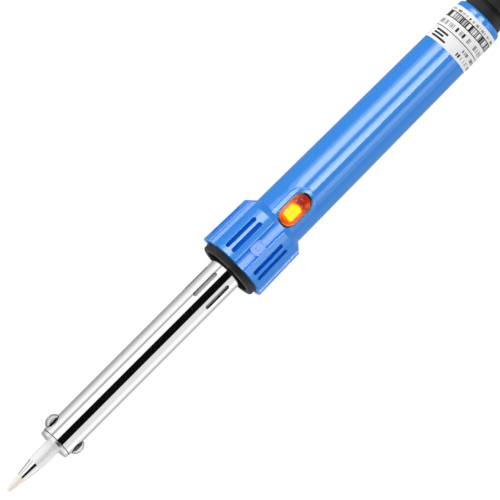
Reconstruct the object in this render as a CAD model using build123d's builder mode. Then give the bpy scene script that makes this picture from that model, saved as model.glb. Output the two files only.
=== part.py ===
from build123d import *
import math
import os

# A mains soldering iron with its heater round the tip: a conical copper tip held by two screws in the
# nose of a steel barrel, a heater inside that barrel, and a moulded handle with a lamp.
#
# Frame: X is the iron's axis. The origin is where the cord enters, at the centre of the handle's flat
# rear end, +X leaves with the cord and the tip points to -X. +Z is up through the lamp's lens.
# All sizes are in millimetres.

os.makedirs("parts", exist_ok=True)

# ---------------------------------------------------------------- driving sizes
# Handle: a long tube that narrows a little towards the cord.
HANDLE_LENGTH = 130.1
HANDLE_FRONT_R = 10.6
HANDLE_REAR_R = 9.6
HANDLE_WALL = 2.0
REAR_WALL = 2.6
REAR_HOLE_R = 6.0
REAR_ROUNDING = 1.6

# Grip collar at the front of the handle: raised pads with long grooves between them.
COLLAR_LENGTH = 20.6
COLLAR_FRONT_R = 14.5
COLLAR_REAR_R = 13.95
COLLAR_CHAMFER = 3.1
PAD_COUNT = 6
GROOVE_WIDTH = 4.5
GROOVE_DEPTH = 1.75
GROOVE_ROUNDING = 1.5  # where a groove's floor meets its walls
PAD_ROUNDING = 0.45
PAD_SLOT_LENGTH = 15.2
PAD_SLOT_WIDTH = 1.8
PAD_SLOT_DEPTH = 1.8
PAD_SLOT_MARGIN = 2.0
PAD_SLOT_SPREAD = 6.3  # degrees, from a pad's middle to each of its two slots
BADGE_R = 2.9
BADGE_HEIGHT = 1.0
BADGE_RELIEF = 0.6  # how deep the ring in its face is
BADGE_MARGIN = 9.7

# Lamp lens and the raised boss round it, on top of the handle.
LENS_LENGTH = 15.1
LENS_WIDTH = 7.9
LENS_CENTRE = 29.6  # behind the collar's front
LENS_CROWN = 0.3
LENS_LEDGE = 0.9
LENS_EDGE = 0.6
BOSS_RISE = 0.6
BOSS_WIDTH = 11.5
BOSS_TAIL = 9.4  # from the lens centre to the boss's rounded end
BOSS_EDGE = 0.45

# Black front insulator, which stands proud of the collar with a deep ring-shaped recess.
INSULATOR_PROUD = 2.6
INSULATOR_R = 12.05
INSULATOR_ROUNDING = 0.7
RECESS_R = 9.7
RECESS_DEPTH = 5.6
SPIGOT_LENGTH = 11.4
SPIGOT_R = 11.1
LUG_HEIGHT = 0.6
LUG_WIDTH = 4.0
LUG_LENGTH = 2.4

# Steel barrel.
BARREL_R = 6.6
BARREL_WALL = 0.8
BARREL_REACH = 88.6  # from the insulator's front to the barrel's mouth
BARREL_TAIL = 3.0  # behind the insulator
VENT_COUNT = 6
VENT_LENGTH = 11.8
VENT_WIDTH = 1.8
VENT_GAP = 4.0  # from the insulator's front to the nearest end of a vent

# Nose bush and its two tip screws.
NOSE_INSET = 0.2  # how much smaller the flange is than the barrel
NOSE_FLANGE = 1.7
NOSE_ROUNDING = 0.5
NOSE_SPIGOT = 8.2
SCREW_SETBACK = 4.2  # from the barrel's mouth to the screws
SCREW_R = 1.5
SCREW_HEAD_R = 3.1
SCREW_HEAD_HEIGHT = 2.2
SCREW_HEAD_RIM = 0.35
SCREW_TRAVEL = 2.0

# Tip.
TIP_R = 3.0
TIP_REACH = 23.6  # from the nose to the point
TIP_POINT_R = 1.0
TIP_CONE_ANGLE = 7.5  # degrees, from the axis to the cone's side
TIP_LENGTH = 75.5
TIP_BACK_CHAMFER = 0.5

# Heater, from the inside out, and the ceramic plug behind it.
FORMER_WALL = 0.35
MICA_WALL = 0.3
WINDING_WIRE = 0.5
WINDING_PITCH = 1.5
WRAP_WALL = 0.5
HEATER_SETBACK = 11.9  # from the barrel's mouth to the heater's front end
HEATER_LENGTH = 57.0
WRAP_TAIL = 1.4  # from the insulator's front to the end of the wrap
PLUG_LENGTH = 5.0

# Earth tag and lock ring, which hold the barrel behind the insulator.
TAG_THICKNESS = 0.5
TAG_RIM = 1.4
TAG_LUG_LENGTH = 5.0
TAG_LUG_WIDTH = 2.6
LOCK_RING = 1.4
LOCK_RING_RIM = 0.8

# Wiring.
WIRE_R = 0.45
SLEEVE_WALL = 0.5
LEAD_SPACING = 2.0
LEAD_BEND = 12.0
EARTH_STRAIGHT = 1.0  # how far the earth wire runs on behind its lug before it slopes in
LAMP_WIRE_R = 0.25

# Terminal block with three brass clamps.
BLOCK_FRONT = 58.0  # behind the collar's front
BLOCK_LENGTH = 20.0
BLOCK_WIDTH = 11.6
BLOCK_HEIGHT = 7.6
POLE_COUNT = 3
POLE_PITCH = 3.7
CLAMP_R = 1.4
CLAMP_BORE_R = 0.85
CLAMP_SCREW_R = 0.7
CLAMP_SCREW_HEAD_R = 1.1
CLAMP_SCREW_PITCH = 9.0

# Lamp.
NEON_R = 2.6
NEON_LENGTH = 13.0
NEON_HEIGHT = 5.7
NEON_GLASS = 0.5
ELECTRODE_R = 0.35
ELECTRODE_LENGTH = 7.5
SADDLE_WALL = 0.9
SADDLE_LENGTH = 4.0
RESISTOR_R = 1.2
RESISTOR_LENGTH = 6.5
RESISTOR_GAP = 2.5

# Cord clamp inside the rear of the handle.
CORD_BORE_R = 3.2  # in the boot
CORD_GRIP = 0.2  # how much smaller the clamp's bore is
CLAMP_BLOCK_R = 7.2
CLAMP_BLOCK_LENGTH = 9.0
CLAMP_BLOCK_GAP = 0.6
CORD_SCREW_R = 1.0
CORD_SCREW_HEAD_R = 1.6

# Strain relief boot.
BOOT_R = 8.4
BOOT_RING = 3.3
BOOT_GROOVE = 1.7
BOOT_GROOVE_DEPTH = 1.9
BOOT_OPENING = 4.4  # width of the openings through the bottom of each groove
BOOT_RIB_COUNT = 7
BOOT_END_R = 5.0
BOOT_FLANGE = 2.0
BOOT_FLANGE_R = 7.3
BOOT_TIP = 4.0

# Rating label, a thin sleeve that wraps nearly all the way round, with its gap underneath.
LABEL_LENGTH = 16.3
LABEL_MARGIN = 2.9  # from the label to the handle's rear end
LABEL_THICKNESS = 0.12
LABEL_WRAP = 350.0

# Clearances.
SLIDE_CLEARANCE = 0.05  # a shaft in the hole that it moves in
SEAT_CLEARANCE = 0.05  # a piece that is seated in another and stays there
POINT_CLEARANCE = 0.1  # a tip screw's end from the tip
FORMER_CLEARANCE = 0.2  # the heater's former round the tip
TAG_CLEARANCE = 0.5  # the earth tag's lug from the handle
GLUE_CLEARANCE = 0.02

# ---------------------------------------------------------------- derived places along the axis
COLLAR_X = -HANDLE_LENGTH
COLLAR_END_X = COLLAR_X + COLLAR_LENGTH
HANDLE_X = COLLAR_END_X + COLLAR_CHAMFER
POCKET_X = COLLAR_X + SPIGOT_LENGTH
SHOULDER_X = COLLAR_X - INSULATOR_PROUD
RECESS_X = SHOULDER_X + RECESS_DEPTH
BARREL_X = SHOULDER_X - BARREL_REACH
BARREL_END_X = POCKET_X + BARREL_TAIL
NOSE_X = BARREL_X - NOSE_FLANGE
SCREW_X = BARREL_X + SCREW_SETBACK
TIP_X = NOSE_X - TIP_REACH
TIP_END_X = TIP_X + TIP_LENGTH
HEATER_X = BARREL_X + HEATER_SETBACK
HEATER_END_X = HEATER_X + HEATER_LENGTH
WRAP_END_X = SHOULDER_X - WRAP_TAIL
PLUG_X = BARREL_END_X - PLUG_LENGTH - 1.0
LENS_X = COLLAR_X + LENS_CENTRE
BLOCK_X = COLLAR_X + BLOCK_FRONT
BLOCK_MID_X = BLOCK_X + BLOCK_LENGTH / 2
REAR_INSIDE_X = -REAR_WALL
LABEL_X = -LABEL_MARGIN - LABEL_LENGTH

PAD_PITCH = 360.0 / PAD_COUNT
BORE_R = BARREL_R - BARREL_WALL
NOSE_FLANGE_R = BARREL_R - NOSE_INSET
FORMER_BORE_R = TIP_R + FORMER_CLEARANCE
HUB_BORE_R = BARREL_R + SEAT_CLEARANCE
TAG_R = BARREL_R + TAG_RIM
LOCK_RING_R = BARREL_R + LOCK_RING_RIM
HANDLE_BORE_R = HANDLE_FRONT_R - HANDLE_WALL
COLLAR_BORE_R = max(HANDLE_BORE_R, TAG_R + TAG_THICKNESS / 2 + TAG_CLEARANCE)
POCKET_R = SPIGOT_R + SEAT_CLEARANCE
TAPER = (HANDLE_FRONT_R - HANDLE_REAR_R) / (0 - HANDLE_X)
COLLAR_TAPER = (COLLAR_FRONT_R - COLLAR_REAR_R) / COLLAR_LENGTH
POLES = [(n - (POLE_COUNT - 1) / 2) * POLE_PITCH for n in range(POLE_COUNT)]


def handle_r(x):
    """The handle's outer radius at x, behind the collar."""
    return HANDLE_REAR_R - TAPER * x


def turn(outline, mode=Mode.ADD, arc=360.0):
    """Turns a half outline, corners of (x, radius), about the iron's axis in the current part."""
    with BuildSketch(Plane.XZ) as half:
        with BuildLine():
            Polyline(*outline, close=True)
        make_face()
    revolve(half.sketch, axis=Axis.X, revolution_arc=arc, mode=mode)


def ring(x0, x1, inner, outer):
    """The half outline of a plain ring from x0 to x1."""
    return [(x0, inner), (x1, inner), (x1, outer), (x0, outer)]


def across(x):
    """The plane across the iron at x, whose local X is the iron's Y and local Y the iron's Z."""
    return Plane(origin=(x, 0, 0), x_dir=(0, 1, 0), z_dir=(1, 0, 0))


def radial(x, angle, radius):
    """The plane that faces outwards at x and radius, angle degrees round from straight up."""
    turned = math.radians(angle)
    out = (0, math.sin(turned), math.cos(turned))
    return Plane(origin=(x, radius * out[1], radius * out[2]), x_dir=(1, 0, 0), z_dir=out)


def save(piece, name):
    """Labels a finished piece and writes it."""
    piece.part.label = name
    export_step(piece.part, f"parts/{name}.step")


# ---------------------------------------------------------------- tip
CONE = math.radians(TIP_CONE_ANGLE)
POINT_CENTRE_X = TIP_X + TIP_POINT_R
POINT_EDGE = (POINT_CENTRE_X - TIP_POINT_R * math.sin(CONE), TIP_POINT_R * math.cos(CONE))
POINT_MIDDLE = (math.pi / 2 + CONE) / 2
POINT_ARC = (
    POINT_CENTRE_X - TIP_POINT_R * math.sin(POINT_MIDDLE),
    TIP_POINT_R * math.cos(POINT_MIDDLE),
)
CONE_END_X = POINT_EDGE[0] + (TIP_R - POINT_EDGE[1]) / math.tan(CONE)

with BuildPart() as soldering_tip:
    with BuildSketch(Plane.XZ):
        with BuildLine():
            ThreePointArc((TIP_X, 0), POINT_ARC, POINT_EDGE)
            Polyline(
                POINT_EDGE,
                (CONE_END_X, TIP_R),
                (TIP_END_X - TIP_BACK_CHAMFER, TIP_R),
                (TIP_END_X, TIP_R - TIP_BACK_CHAMFER),
                (TIP_END_X, 0),
                (TIP_X, 0),
            )
        make_face()
    revolve(axis=Axis.X)
save(soldering_tip, "soldering_tip")

# ---------------------------------------------------------------- nose bush, screwed through from both sides
with BuildPart() as nose_bush:
    turn(
        [
            (NOSE_X, TIP_R + SLIDE_CLEARANCE),
            (BARREL_X + NOSE_SPIGOT, TIP_R + SLIDE_CLEARANCE),
            (BARREL_X + NOSE_SPIGOT, BORE_R - SEAT_CLEARANCE),
            (BARREL_X, BORE_R - SEAT_CLEARANCE),
            (BARREL_X, NOSE_FLANGE_R),
            (NOSE_X, NOSE_FLANGE_R),
        ]
    )
    flange_rims = nose_bush.edges().filter_by(GeomType.CIRCLE).filter_by(
        lambda edge: abs(edge.radius - NOSE_FLANGE_R) < 0.01
    )
    fillet(flange_rims, NOSE_ROUNDING)
    with BuildSketch(Plane.XZ):
        with Locations((SCREW_X, 0)):
            Circle(SCREW_R + SLIDE_CLEARANCE)
    extrude(amount=BARREL_R, both=True, mode=Mode.SUBTRACT)
save(nose_bush, "nose_bush")

# ---------------------------------------------------------------- tip screws, one from each side
SCREW_SEAT_Y = BARREL_R + SLIDE_CLEARANCE
SCREW_END_Y = TIP_R + POINT_CLEARANCE
DOME_R = (SCREW_HEAD_R**2 + (SCREW_HEAD_HEIGHT - SCREW_HEAD_RIM) ** 2) / (
    2 * (SCREW_HEAD_HEIGHT - SCREW_HEAD_RIM)
)
RECESS_ARM = 3.4
RECESS_SLOT = 0.75
CROSS_DEPTH = 1.3
for side, name in ((1, "set_screw_left"), (-1, "set_screw_right")):
    out_of_barrel = Plane(origin=(SCREW_X, 0, 0), x_dir=(1, 0, 0), z_dir=(0, side, 0))
    with BuildPart() as set_screw:
        with BuildSketch(out_of_barrel.offset(SCREW_END_Y)):
            Circle(SCREW_R)
        extrude(amount=SCREW_SEAT_Y - SCREW_END_Y)
        with BuildSketch(out_of_barrel.offset(SCREW_SEAT_Y)):
            Circle(SCREW_HEAD_R)
        extrude(amount=SCREW_HEAD_HEIGHT)
        ball_plane = out_of_barrel.offset(SCREW_SEAT_Y + SCREW_HEAD_HEIGHT - DOME_R)
        with Locations(Location(ball_plane.origin)):
            Sphere(DOME_R, mode=Mode.INTERSECT)
        chamfer(set_screw.edges().sort_by(Axis.Y)[0 if side > 0 else -1], SCREW_R / 4)
        with BuildSketch(out_of_barrel.offset(SCREW_SEAT_Y + SCREW_HEAD_HEIGHT)):
            Rectangle(RECESS_ARM, RECESS_SLOT)
            Rectangle(RECESS_SLOT, RECESS_ARM)
        extrude(amount=-CROSS_DEPTH, taper=12, mode=Mode.SUBTRACT)
    save(set_screw, name)

# ---------------------------------------------------------------- barrel
VENT_X = SHOULDER_X - VENT_GAP - VENT_LENGTH / 2
with BuildPart() as barrel_tube:
    turn(ring(BARREL_X, BARREL_END_X, BORE_R, BARREL_R))
    with BuildSketch(Plane.XZ):
        with Locations((SCREW_X, 0)):
            Circle(SCREW_R + SLIDE_CLEARANCE)
    extrude(amount=2 * BARREL_R, both=True, mode=Mode.SUBTRACT)
    for n in range(VENT_COUNT):
        with BuildSketch(radial(VENT_X, (n + 0.5) * 360 / VENT_COUNT, BORE_R - BARREL_WALL)):
            SlotOverall(VENT_LENGTH, VENT_WIDTH)
        extrude(amount=3 * BARREL_WALL, mode=Mode.SUBTRACT)
save(barrel_tube, "barrel_tube")

# ---------------------------------------------------------------- heater, from the inside out
FORMER_R = FORMER_BORE_R + FORMER_WALL
MICA_R = FORMER_R + MICA_WALL
WINDING_R = MICA_R + WINDING_WIRE
WRAP_R = WINDING_R + WRAP_WALL

with BuildPart() as heater_former:
    turn(ring(HEATER_X, HEATER_END_X, FORMER_BORE_R, FORMER_R))
save(heater_former, "heater_former")

with BuildPart() as inner_mica:
    turn(ring(HEATER_X, HEATER_END_X, FORMER_R, MICA_R))
save(inner_mica, "inner_mica")

WINDING_MARGIN = 2.0
TURN_COUNT = int((HEATER_LENGTH - 2 * WINDING_MARGIN) / WINDING_PITCH)
with BuildPart() as heater_winding:
    wound = [(HEATER_X + WINDING_MARGIN, MICA_R)]
    for n in range(TURN_COUNT):
        turn_x = HEATER_X + WINDING_MARGIN + n * WINDING_PITCH
        wound += [
            (turn_x, MICA_R + WINDING_WIRE / 2),
            (turn_x + WINDING_PITCH / 4, WINDING_R),
            (turn_x + WINDING_PITCH / 2, WINDING_R),
            (turn_x + 3 * WINDING_PITCH / 4, MICA_R + WINDING_WIRE / 2),
        ]
    wound.append((turn_x + 3 * WINDING_PITCH / 4, MICA_R))
    turn(wound)
save(heater_winding, "heater_winding")

with BuildPart() as heater_wrap:
    turn(ring(HEATER_X, WRAP_END_X, WINDING_R, WRAP_R))
save(heater_wrap, "heater_wrap")

with BuildPart() as ceramic_plug:
    turn(ring(PLUG_X, PLUG_X + PLUG_LENGTH, 0, BORE_R - SEAT_CLEARANCE))
    with BuildSketch(across(PLUG_X)):
        with Locations((LEAD_SPACING, 0), (-LEAD_SPACING, 0)):
            Circle(WIRE_R + SEAT_CLEARANCE)
    extrude(amount=PLUG_LENGTH, mode=Mode.SUBTRACT)
save(ceramic_plug, "ceramic_plug")

# ---------------------------------------------------------------- front insulator with three snap lugs
LUG_ANGLES = [PAD_PITCH / 2 + 120 * n for n in range(3)]
LUG_X = POCKET_X - LUG_LENGTH
with BuildPart() as front_insulator:
    turn(
        [
            (SHOULDER_X, RECESS_R),
            (RECESS_X, RECESS_R),
            (RECESS_X, HUB_BORE_R),
            (POCKET_X, HUB_BORE_R),
            (POCKET_X, SPIGOT_R),
            (COLLAR_X, SPIGOT_R),
            (COLLAR_X, INSULATOR_R),
            (SHOULDER_X, INSULATOR_R),
        ]
    )
    bezel_rim = front_insulator.edges().filter_by(GeomType.CIRCLE).filter_by(
        lambda edge: abs(edge.radius - INSULATOR_R) < 0.01 and edge.center().X < COLLAR_X - 0.1
    )
    fillet(bezel_rim, INSULATOR_ROUNDING)
    for angle in LUG_ANGLES:
        with BuildSketch(radial(LUG_X + LUG_LENGTH / 2, angle, SPIGOT_R - LUG_HEIGHT)):
            Rectangle(LUG_LENGTH, LUG_WIDTH)
        extrude(amount=2 * LUG_HEIGHT)
save(front_insulator, "front_insulator")

# ---------------------------------------------------------------- what holds the barrel behind the insulator
TAG_LUG_Z = -TAG_R
with BuildPart() as earth_tag:
    turn(ring(POCKET_X, POCKET_X + TAG_THICKNESS, HUB_BORE_R, TAG_R))
    with BuildSketch(across(POCKET_X)):
        with Locations((0, TAG_LUG_Z)):
            Rectangle(TAG_LUG_WIDTH, TAG_THICKNESS)
    extrude(amount=TAG_LUG_LENGTH)
save(earth_tag, "earth_tag")

with BuildPart() as lock_ring:
    turn(
        ring(
            POCKET_X + TAG_THICKNESS,
            POCKET_X + TAG_THICKNESS + LOCK_RING,
            BARREL_R,
            LOCK_RING_R,
        )
    )
save(lock_ring, "lock_ring")

# ---------------------------------------------------------------- lens boss, a raised rounded bar on the handle
BOSS_R = handle_r(LENS_X) + BOSS_RISE
BOSS_END_X = LENS_X + BOSS_TAIL
BOSS_START_X = COLLAR_X + COLLAR_LENGTH / 2
BOSS_LENGTH = BOSS_END_X - BOSS_START_X
with BuildPart() as lens_boss:
    with BuildSketch(Plane.XY.offset(HANDLE_BORE_R)):
        with Locations(((BOSS_START_X + BOSS_END_X) / 2, 0)):
            SlotOverall(BOSS_LENGTH, BOSS_WIDTH)
    extrude(amount=2 * HANDLE_WALL + BOSS_RISE)
    turn(ring(BOSS_START_X - BOSS_WIDTH, BOSS_END_X + 1, 0, BOSS_R), mode=Mode.INTERSECT)
    fillet(lens_boss.faces().filter_by(GeomType.CYLINDER).sort_by(Axis.Z)[-1].edges(), BOSS_EDGE)

# ---------------------------------------------------------------- handle and grip collar, one moulding
GROOVE_FLOOR_R = COLLAR_FRONT_R - GROOVE_DEPTH
SLOT_MID_X = COLLAR_X + PAD_SLOT_MARGIN + PAD_SLOT_LENGTH / 2
SLOT_MID_R = COLLAR_FRONT_R - COLLAR_TAPER * (SLOT_MID_X - COLLAR_X)
PAD_ANGLES = [PAD_PITCH * (n + 0.5) for n in range(PAD_COUNT)]
LENS_BED_Z = handle_r(LENS_X) - HANDLE_WALL + LENS_LEDGE
BADGE_X = COLLAR_X + BADGE_MARGIN
BADGE_FLOOR = GROOVE_FLOOR_R - COLLAR_TAPER * BADGE_MARGIN

with BuildPart() as groove_cutter:
    with BuildSketch(Plane.XZ):
        with BuildLine():
            Polyline(
                (COLLAR_X - 1, GROOVE_FLOOR_R + COLLAR_TAPER),
                (HANDLE_X + 1, GROOVE_FLOOR_R - COLLAR_TAPER * (HANDLE_X + 1 - COLLAR_X)),
                (HANDLE_X + 1, COLLAR_FRONT_R + 1),
                (COLLAR_X - 1, COLLAR_FRONT_R + 1),
                close=True,
            )
        make_face()
    extrude(amount=GROOVE_WIDTH / 2, both=True)
    floor_edges = groove_cutter.faces().sort_by(Axis.Z)[0].edges().filter_by(
        lambda edge: edge.bounding_box().size.X > COLLAR_LENGTH
    )
    fillet(floor_edges, GROOVE_ROUNDING)

with BuildPart() as handle_shell:
    turn(
        [
            (COLLAR_X, 0),
            (COLLAR_X, COLLAR_FRONT_R),
            (COLLAR_END_X, COLLAR_REAR_R),
            (HANDLE_X, HANDLE_FRONT_R),
            (0, HANDLE_REAR_R),
            (0, 0),
        ]
    )
    for n in range(PAD_COUNT):
        add(groove_cutter.part, rotation=(n * PAD_PITCH, 0, 0), mode=Mode.SUBTRACT)
    pad_edges = handle_shell.edges().filter_by(
        lambda edge: edge.bounding_box().size.X > COLLAR_LENGTH * 0.9
        and edge.center().X < COLLAR_END_X
        and math.hypot(edge.center().Y, edge.center().Z) > (GROOVE_FLOOR_R + COLLAR_FRONT_R) / 2
    )
    fillet(pad_edges, PAD_ROUNDING)
    rear_rim = handle_shell.edges().filter_by(GeomType.CIRCLE).sort_by(Axis.X)[-1]
    fillet(rear_rim, REAR_ROUNDING)
    add(lens_boss.part)
    with BuildSketch(Plane.XY.offset(BADGE_FLOOR - BADGE_HEIGHT)):
        with Locations((BADGE_X, 0)):
            Circle(BADGE_R)
    extrude(amount=2 * BADGE_HEIGHT)
    with BuildSketch(Plane.XY.offset(BADGE_FLOOR + BADGE_HEIGHT)):
        with Locations((BADGE_X, 0)):
            Circle(BADGE_R * 0.8)
            Circle(BADGE_R * 0.3, mode=Mode.SUBTRACT)
    extrude(amount=-BADGE_RELIEF, mode=Mode.SUBTRACT)
    turn(
        [
            (COLLAR_X, 0),
            (COLLAR_X, POCKET_R),
            (POCKET_X, POCKET_R),
            (POCKET_X, COLLAR_BORE_R),
            (COLLAR_END_X, COLLAR_BORE_R),
            (HANDLE_X, HANDLE_BORE_R),
            (REAR_INSIDE_X, handle_r(REAR_INSIDE_X) - HANDLE_WALL),
            (REAR_INSIDE_X, REAR_HOLE_R),
            (0, REAR_HOLE_R),
            (0, 0),
        ],
        mode=Mode.SUBTRACT,
    )
    for pad in PAD_ANGLES:
        for angle in (pad - PAD_SLOT_SPREAD, pad + PAD_SLOT_SPREAD):
            with BuildSketch(radial(SLOT_MID_X, angle, SLOT_MID_R - PAD_SLOT_DEPTH)):
                SlotOverall(PAD_SLOT_LENGTH, PAD_SLOT_WIDTH)
            extrude(amount=2 * PAD_SLOT_DEPTH, mode=Mode.SUBTRACT)
    for angle in LUG_ANGLES:
        with BuildSketch(radial(LUG_X + LUG_LENGTH / 2, angle, SPIGOT_R - LUG_HEIGHT)):
            Rectangle(LUG_LENGTH + 2 * SEAT_CLEARANCE, LUG_WIDTH + 2 * SEAT_CLEARANCE)
        extrude(amount=2 * LUG_HEIGHT + SEAT_CLEARANCE, mode=Mode.SUBTRACT)
    with BuildSketch(Plane.XY.offset(LENS_BED_Z)):
        with Locations((LENS_X, 0)):
            SlotOverall(LENS_LENGTH + 2 * SEAT_CLEARANCE, LENS_WIDTH + 2 * SEAT_CLEARANCE)
    extrude(amount=COLLAR_FRONT_R, mode=Mode.SUBTRACT)
    with BuildSketch(Plane.XY):
        with Locations((LENS_X, 0)):
            SlotOverall(LENS_LENGTH - 2 * LENS_LEDGE, LENS_WIDTH - 2 * LENS_LEDGE)
    extrude(amount=COLLAR_FRONT_R, mode=Mode.SUBTRACT)
save(handle_shell, "handle_shell")

# ---------------------------------------------------------------- lamp lens
with BuildPart() as indicator_lens:
    with BuildSketch(Plane.XY.offset(LENS_BED_Z)):
        with Locations((LENS_X, 0)):
            SlotOverall(LENS_LENGTH, LENS_WIDTH)
    extrude(amount=COLLAR_FRONT_R)
    turn(ring(LENS_X - LENS_LENGTH, LENS_X + LENS_LENGTH, 0, BOSS_R + LENS_CROWN), mode=Mode.INTERSECT)
    fillet(indicator_lens.faces().filter_by(GeomType.CYLINDER).sort_by(Axis.Z)[-1].edges(), LENS_EDGE)
save(indicator_lens, "indicator_lens")

# ---------------------------------------------------------------- neon lamp, its holder and its resistor
NEON_X = LENS_X - NEON_LENGTH / 2
NEON_END_X = NEON_X + NEON_LENGTH


def lamp_plane(x, y=0.0, z=NEON_HEIGHT):
    """A plane across the iron, centred on the lamp's own axis unless y and z say otherwise."""
    return Plane(origin=(x, y, z), x_dir=(0, 1, 0), z_dir=(1, 0, 0))


with BuildPart() as neon_bulb:
    with BuildSketch(lamp_plane(NEON_X)):
        Circle(NEON_R)
    extrude(amount=NEON_LENGTH)
    fillet(neon_bulb.edges().sort_by(Axis.X)[0], NEON_R * 0.8)
    with BuildSketch(lamp_plane(NEON_X + NEON_R)):
        Circle(NEON_R - NEON_GLASS)
    extrude(amount=NEON_LENGTH - NEON_R - 2 * NEON_GLASS, mode=Mode.SUBTRACT)
    with BuildSketch(lamp_plane(NEON_END_X - 2 * NEON_GLASS)):
        with Locations((NEON_R / 3, 0), (-NEON_R / 3, 0)):
            Circle(ELECTRODE_R)
    extrude(amount=2 * NEON_GLASS, mode=Mode.SUBTRACT)
save(neon_bulb, "neon_bulb")

with BuildPart() as neon_electrodes:
    with BuildSketch(lamp_plane(NEON_END_X - ELECTRODE_LENGTH)):
        with Locations((NEON_R / 3, 0), (-NEON_R / 3, 0)):
            Circle(ELECTRODE_R)
    extrude(amount=ELECTRODE_LENGTH)
save(neon_electrodes, "neon_electrodes")

SADDLE_R = NEON_R + SEAT_CLEARANCE + SADDLE_WALL
with BuildPart() as lamp_saddle:
    with BuildSketch(lamp_plane(NEON_END_X - SADDLE_LENGTH - 1.0)):
        Circle(SADDLE_R)
        Circle(NEON_R + SEAT_CLEARANCE, mode=Mode.SUBTRACT)
        with Locations((0, NEON_R)):
            Rectangle(2 * SADDLE_R, NEON_R * 1.6, mode=Mode.SUBTRACT)
    extrude(amount=SADDLE_LENGTH)
save(lamp_saddle, "lamp_saddle")

RESISTOR_X = NEON_END_X + RESISTOR_GAP
RESISTOR_Y = NEON_R / 3
with BuildPart() as lamp_resistor:
    with BuildSketch(lamp_plane(RESISTOR_X, RESISTOR_Y)):
        Circle(RESISTOR_R)
    extrude(amount=RESISTOR_LENGTH)
    fillet(lamp_resistor.edges().filter_by(GeomType.CIRCLE), RESISTOR_R / 3)
save(lamp_resistor, "lamp_resistor")

# ---------------------------------------------------------------- terminal block
CLAMP_INSET = 1.5
CLAMP_SPOTS = [(BLOCK_MID_X + n * CLAMP_SCREW_PITCH / 2, y) for n in (-1, 1) for y in POLES]
with BuildPart() as terminal_block:
    with BuildSketch(across(BLOCK_X)):
        RectangleRounded(BLOCK_WIDTH, BLOCK_HEIGHT, CLAMP_R / 2)
        with Locations([(y, 0) for y in POLES]):
            Circle(CLAMP_R, mode=Mode.SUBTRACT)
    extrude(amount=BLOCK_LENGTH)
    with BuildSketch(Plane.XY):
        with Locations(CLAMP_SPOTS):
            Circle(CLAMP_SCREW_HEAD_R)
    extrude(amount=BLOCK_HEIGHT, mode=Mode.SUBTRACT)
save(terminal_block, "terminal_block")

with BuildPart() as terminal_clamps:
    with BuildSketch(across(BLOCK_X + CLAMP_INSET)):
        with Locations([(y, 0) for y in POLES]):
            Circle(CLAMP_R)
            Circle(CLAMP_BORE_R, mode=Mode.SUBTRACT)
    extrude(amount=BLOCK_LENGTH - 2 * CLAMP_INSET)
    with BuildSketch(Plane.XY):
        with Locations(CLAMP_SPOTS):
            Circle(CLAMP_SCREW_R)
    extrude(amount=BLOCK_HEIGHT, mode=Mode.SUBTRACT)
save(terminal_clamps, "terminal_clamps")

SCREW_FOOT_Z = CLAMP_BORE_R
with BuildPart() as terminal_screws:
    with BuildSketch(Plane.XY.offset(SCREW_FOOT_Z)):
        with Locations(CLAMP_SPOTS):
            Circle(CLAMP_SCREW_R)
    extrude(amount=CLAMP_R - SCREW_FOOT_Z)
    with BuildSketch(Plane.XY.offset(CLAMP_R)):
        with Locations(CLAMP_SPOTS):
            Circle(CLAMP_SCREW_HEAD_R - SEAT_CLEARANCE)
    extrude(amount=CLAMP_R)
    with BuildSketch(Plane.XY.offset(2 * CLAMP_R)):
        with Locations(CLAMP_SPOTS):
            Rectangle(2 * CLAMP_SCREW_HEAD_R, CLAMP_SCREW_R / 2)
    extrude(amount=-CLAMP_R / 3, mode=Mode.SUBTRACT)
save(terminal_screws, "terminal_screws")

# ---------------------------------------------------------------- wiring
# A wire is a line with arcs at its bends: from a start point to a point in a clamp.
CLAMP_WIRE_X = BLOCK_X + CLAMP_INSET + 2.0
WIRE_END_Z = WIRE_R - CLAMP_BORE_R
LAMP_WIRE_Z = CLAMP_BORE_R - LAMP_WIRE_R
BEND_START_X = BLOCK_X - 22.0
BEND_END_X = BLOCK_X - 6.0


def wire(points, radius, bend):
    """A round wire along straight runs joined by arcs, added to the current part."""
    with BuildLine() as route:
        FilletPolyline(*points, radius=bend)
    with BuildSketch(Plane(origin=points[0], z_dir=route.line % 0)) as section:
        Circle(radius)
    sweep(section.sketch, path=route.line)


with BuildPart() as lead_wires:
    for side in (-1, 1):
        wire(
            [
                (HEATER_END_X, side * LEAD_SPACING, 0),
                (BEND_START_X, side * LEAD_SPACING, 0),
                (BEND_END_X, side * POLE_PITCH, WIRE_END_Z),
                (CLAMP_WIRE_X, side * POLE_PITCH, WIRE_END_Z),
            ],
            WIRE_R,
            LEAD_BEND,
        )
save(lead_wires, "lead_wires")

SLEEVE_X = PLUG_X + PLUG_LENGTH + 0.5
with BuildPart() as lead_sleeves:
    with BuildSketch(across(SLEEVE_X)):
        with Locations((LEAD_SPACING, 0), (-LEAD_SPACING, 0)):
            Circle(WIRE_R + GLUE_CLEARANCE + SLEEVE_WALL)
            Circle(WIRE_R + GLUE_CLEARANCE, mode=Mode.SUBTRACT)
    extrude(amount=BEND_START_X - 3.0 - SLEEVE_X)
save(lead_sleeves, "lead_sleeves")

EARTH_Z = TAG_LUG_Z + TAG_THICKNESS / 2 + WIRE_R + GLUE_CLEARANCE
EARTH_X = POCKET_X + TAG_THICKNESS + LOCK_RING + GLUE_CLEARANCE
EARTH_SLOPE_X = POCKET_X + TAG_LUG_LENGTH + EARTH_STRAIGHT
with BuildPart() as earth_wire:
    wire(
        [
            (EARTH_X, 0, EARTH_Z),
            (EARTH_SLOPE_X, 0, EARTH_Z),
            (BEND_END_X, 0, WIRE_END_Z),
            (CLAMP_WIRE_X, 0, WIRE_END_Z),
        ],
        WIRE_R,
        LEAD_BEND,
    )
save(earth_wire, "earth_wire")

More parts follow.
